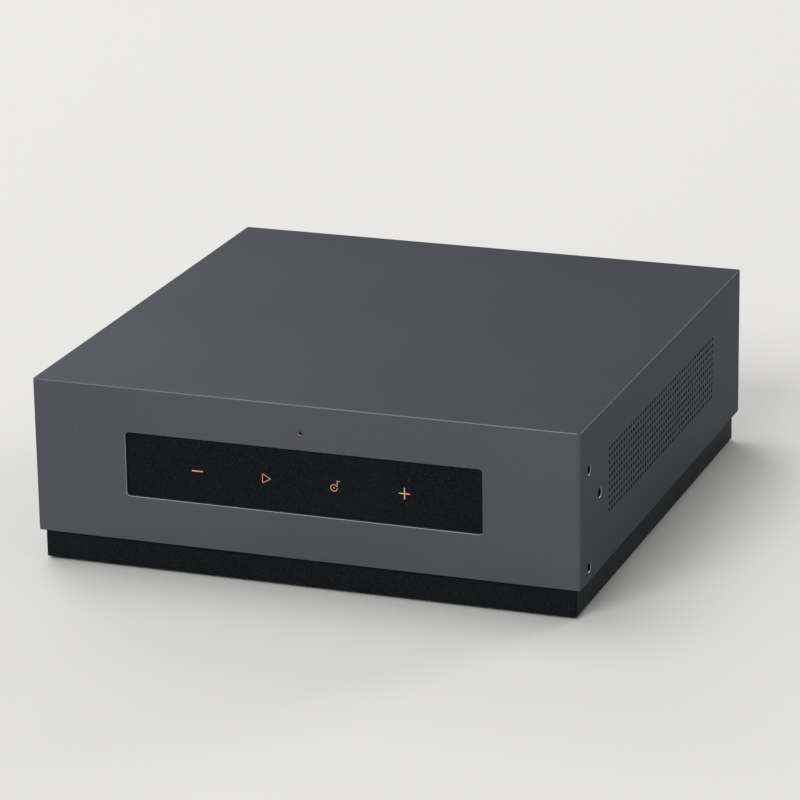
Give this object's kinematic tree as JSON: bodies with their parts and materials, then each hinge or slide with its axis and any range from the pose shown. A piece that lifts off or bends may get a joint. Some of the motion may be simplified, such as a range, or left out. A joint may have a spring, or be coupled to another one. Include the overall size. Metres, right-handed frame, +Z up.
{
  "type": "streaming amplifier",
  "caption": "Compact streaming amplifier: square metal case on a black plinth, recessed touch strip, perforated sides and a rear panel with sockets and screw-down speaker posts.",
  "frame": {"origin": "under the middle of the whole part, posts included, on the surface it stands on", "axes": "+X to the right seen from the front, +Y to the rear, +Z up"},
  "size_m": [0.19, 0.209, 0.0641],
  "materials": {
    "cover": "bead blasted and anodised dark grey",
    "black_plastic": "fine spark-eroded texture",
    "rubber": "moulded",
    "black_panel": "fine textured powder coat",
    "black_screw": "black oxide",
    "steel": "zinc plated",
    "lens": "fine textured acrylic",
    "light_pipe": "clear moulded",
    "gold": "gold plated",
    "cap_red": "moulded",
    "cap_black": "moulded",
    "insert_red": "moulded",
    "insert_white": "moulded",
    "socket_plastic": "moulded",
    "socket_shell": "nickel plated",
    "circuit_board": "solder mask",
    "chip": "moulded epoxy",
    "heat_sink": "black anodised extrusion",
    "plain_aluminium": "mill finish",
    "ferrite": "sintered",
    "tape": "polyester tape over windings",
    "capacitor": "shrunk sleeve",
    "cable": "flat cable",
    "fuse": "glass tube"
  },
  "bodies": {
    "chassis": {"cover": "cover", "plinth_tray": "black_plastic", "rubber_feet": "rubber", "cover_lugs": "plain_aluminium", "cover_screws": "black_screw", "rack_nuts": "steel", "touch_lens": "lens", "touch_board": "circuit_board", "status_light_pipe": "light_pipe", "rear_panel": "black_panel", "panel_brackets": "plain_aluminium", "panel_screws": "black_screw", "phono_bodies": "socket_plastic", "phono_barrels": "gold", "terminal_plate": "black_plastic", "post_studs": "gold", "post_nuts": "steel", "terminal_board": "circuit_board", "mains_inlet": "socket_plastic", "mains_pins": "steel", "optical_socket": "socket_plastic", "trigger_jack": "socket_plastic", "display_shell": "socket_shell", "display_tongue": "socket_plastic", "data_shell": "socket_shell", "data_tongue": "insert_white", "network_socket": "socket_plastic", "setup_switch": "socket_plastic", "board_standoffs": "steel", "board_screws": "steel", "main_board": "circuit_board", "power_board": "circuit_board", "amplifier_chips": "chip", "heat_sink": "heat_sink", "output_chokes": "chip", "player_module": "socket_shell", "aerials": "circuit_board", "transformer_core": "ferrite", "transformer_winding": "tape", "reservoir_capacitors": "capacitor", "mains_filter": "tape", "mains_fuse": "fuse", "supply_heat_plate": "plain_aluminium", "touch_ribbon": "cable", "supply_lead": "cable", "phono_insert_red": "insert_red", "phono_insert_white": "insert_white", "phono_insert_black": "socket_plastic"},
    "shutter": {"optical_shutter": "socket_plastic"},
    "button": {"setup_button": "black_plastic"},
    "washer_left_plus": {"post_washer_left_plus": "gold"},
    "cap_left_plus": {"post_cap_left_plus": "cap_red"},
    "washer_right_plus": {"post_washer_right_plus": "gold"},
    "cap_right_plus": {"post_cap_right_plus": "cap_red"},
    "washer_left_minus": {"post_washer_left_minus": "gold"},
    "cap_left_minus": {"post_cap_left_minus": "cap_black"},
    "washer_right_minus": {"post_washer_right_minus": "gold"},
    "cap_right_minus": {"post_cap_right_minus": "cap_black"}
  },
  "joints": [
    {"name": "lift_left_plus", "type": "slide", "parent": "chassis", "child": "washer_left_plus", "axis": [0, 1, 0], "range_m": [0, 0.004]},
    {"name": "turn_left_plus", "type": "hinge", "parent": "washer_left_plus", "child": "cap_left_plus", "pos_m": [-0.03336, 0.08895, 0.05162], "axis": [0, 1, 0], "range_deg": [0, 1800]},
    {"name": "lift_right_plus", "type": "slide", "parent": "chassis", "child": "washer_right_plus", "axis": [0, 1, 0], "range_m": [0, 0.004]},
    {"name": "turn_right_plus", "type": "hinge", "parent": "washer_right_plus", "child": "cap_right_plus", "pos_m": [-0.05241, 0.08895, 0.05162], "axis": [0, 1, 0], "range_deg": [0, 1800]},
    {"name": "lift_left_minus", "type": "slide", "parent": "chassis", "child": "washer_left_minus", "axis": [0, 1, 0], "range_m": [0, 0.004]},
    {"name": "turn_left_minus", "type": "hinge", "parent": "washer_left_minus", "child": "cap_left_minus", "pos_m": [-0.03336, 0.08895, 0.03257], "axis": [0, 1, 0], "range_deg": [0, 1800]},
    {"name": "lift_right_minus", "type": "slide", "parent": "chassis", "child": "washer_right_minus", "axis": [0, 1, 0], "range_m": [0, 0.004]},
    {"name": "turn_right_minus", "type": "hinge", "parent": "washer_right_minus", "child": "cap_right_minus", "pos_m": [-0.05241, 0.08895, 0.03257], "axis": [0, 1, 0], "range_deg": [0, 1800]},
    {"name": "shutter_swing", "type": "hinge", "parent": "chassis", "child": "shutter", "pos_m": [0.03176, 0.08275, 0.0376], "axis": [-1, 0, 0], "range_deg": [0, 80], "stiffness_Nm_per_rad": 0.0002},
    {"name": "button_press", "type": "slide", "parent": "chassis", "child": "button", "axis": [0, -1, 0], "range_m": [0, 0.0005], "stiffness_N_per_m": 250}
  ],
  "couplings": [
    {"joint": "turn_left_plus", "follows": "lift_left_plus", "rad_per_m": 7853.9},
    {"joint": "turn_right_plus", "follows": "lift_right_plus", "rad_per_m": 7853.9},
    {"joint": "turn_left_minus", "follows": "lift_left_minus", "rad_per_m": 7853.9},
    {"joint": "turn_right_minus", "follows": "lift_right_minus", "rad_per_m": 7853.9}
  ]
}
